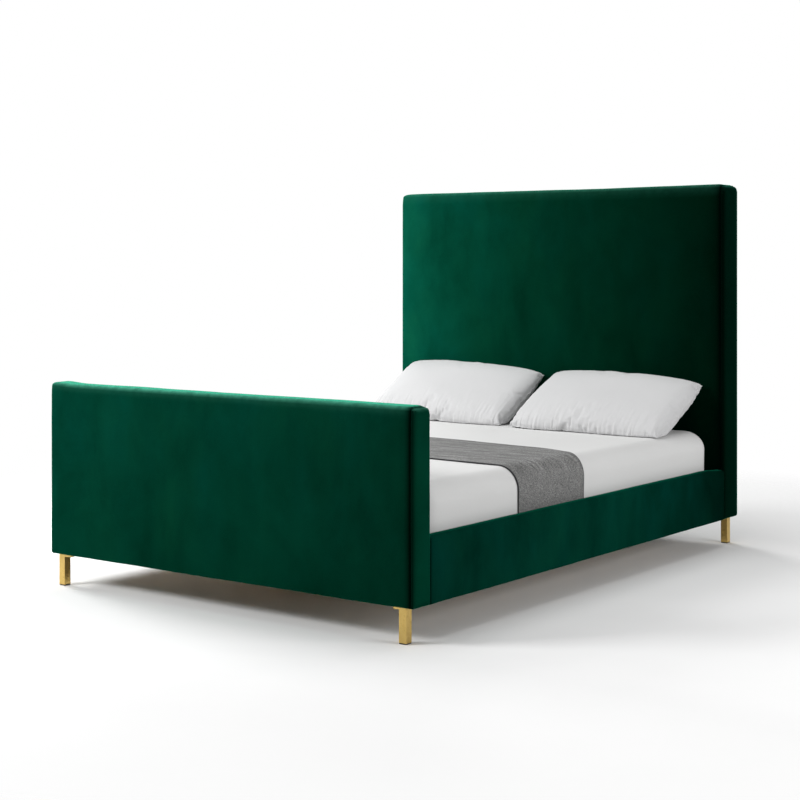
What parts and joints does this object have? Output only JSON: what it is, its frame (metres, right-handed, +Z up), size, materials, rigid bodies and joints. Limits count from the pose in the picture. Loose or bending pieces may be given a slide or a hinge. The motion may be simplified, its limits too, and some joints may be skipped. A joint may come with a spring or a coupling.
{
  "type": "upholstered headboard bed",
  "caption": "Velvet-covered bed with a tall flat headboard, a lower footboard and slim side rails on square metal legs, made up with mattress, pillows and throw.",
  "frame": {"origin": "on the floor, under the centre of the bed's bounding box", "axes": "+X towards the right-hand rail for someone standing at the foot, +Y from the foot to the headboard, +Z up"},
  "size_m": [1.616, 2.269, 1.47],
  "materials": {
    "velvet": "matte",
    "timber": "matte",
    "plywood": "matte",
    "hardboard": "matte",
    "foam": "matte",
    "gold_legs": "polished",
    "zinc_steel": "satin",
    "brass_inserts": "satin",
    "black_plastic": "matte",
    "black_metal": "satin",
    "webbing": "matte",
    "spring_unit": "matte",
    "comfort_foam": "matte",
    "ticking": "matte",
    "sheet": "matte",
    "pillow_filling": "matte",
    "pillowcase": "matte",
    "throw_knit": "matte"
  },
  "bodies": {
    "bed_frame": {"headboard_sill": "timber", "headboard_left_stile": "timber", "headboard_right_stile": "timber", "headboard_middle_rail": "timber", "headboard_top_rail": "timber", "headboard_back_frame": "timber", "headboard_front_panel": "plywood", "headboard_back_panel": "hardboard", "headboard_foam": "foam", "headboard_cover": "velvet", "headboard_back_cover": "velvet", "footboard_sill": "timber", "footboard_left_stile": "timber", "footboard_right_stile": "timber", "footboard_top_rail": "timber", "footboard_outer_panel": "plywood", "footboard_inner_panel": "plywood", "footboard_outer_foam": "foam", "footboard_inner_foam": "foam", "footboard_cover": "velvet", "left_rail_board": "plywood", "left_rail_foam": "foam", "left_rail_cover": "velvet", "left_rail_ledger": "timber", "right_rail_board": "plywood", "right_rail_foam": "foam", "right_rail_cover": "velvet", "right_rail_ledger": "timber", "rail_brackets": "zinc_steel", "bracket_screws": "zinc_steel", "ledger_screws": "zinc_steel", "hanger_screws": "zinc_steel", "leg_screws": "zinc_steel", "lock_nuts": "zinc_steel", "rail_bolts": "black_metal", "beam_hangers": "black_metal", "rail_bolt_inserts": "brass_inserts", "left_front_leg": "gold_legs", "right_front_leg": "gold_legs", "left_rear_leg": "gold_legs", "right_rear_leg": "gold_legs", "leg_glides": "black_plastic", "centre_beam": "timber", "foot_centre_leg": "black_plastic", "middle_centre_leg": "black_plastic", "head_centre_leg": "black_plastic", "slats": "timber", "slat_straps": "webbing"},
    "mattress": {"mattress_spring_core": "spring_unit", "mattress_comfort_foam": "comfort_foam", "mattress_ticking": "ticking", "fitted_sheet": "sheet"},
    "left_pillow": {"left_pillow_filling": "pillow_filling", "left_pillowcase": "pillowcase"},
    "right_pillow": {"right_pillow_filling": "pillow_filling", "right_pillowcase": "pillowcase"},
    "bed_throw": {"throw": "throw_knit"},
    "foot_leveller": {"foot_levelling_foot": "zinc_steel"},
    "middle_leveller": {"middle_levelling_foot": "zinc_steel"},
    "head_leveller": {"head_levelling_foot": "zinc_steel"}
  },
  "joints": [
    {"name": "mattress_lift", "type": "slide", "parent": "bed_frame", "child": "mattress", "axis": [0, 0, 1], "range_m": [0, 0.55]},
    {"name": "left_pillow_lift", "type": "slide", "parent": "mattress", "child": "left_pillow", "axis": [0, 0, 1], "range_m": [0, 0.35]},
    {"name": "right_pillow_lift", "type": "slide", "parent": "mattress", "child": "right_pillow", "axis": [0, 0, 1], "range_m": [0, 0.35]},
    {"name": "throw_lift", "type": "slide", "parent": "mattress", "child": "bed_throw", "axis": [0, 0, 1], "range_m": [0, 0.3]},
    {"name": "foot_leveller_screw", "type": "slide", "parent": "bed_frame", "child": "foot_leveller", "axis": [0, 0, 1], "range_m": [0, 0.015]},
    {"name": "middle_leveller_screw", "type": "slide", "parent": "bed_frame", "child": "middle_leveller", "axis": [0, 0, 1], "range_m": [0, 0.015]},
    {"name": "head_leveller_screw", "type": "slide", "parent": "bed_frame", "child": "head_leveller", "axis": [0, 0, 1], "range_m": [0, 0.015]}
  ]
}
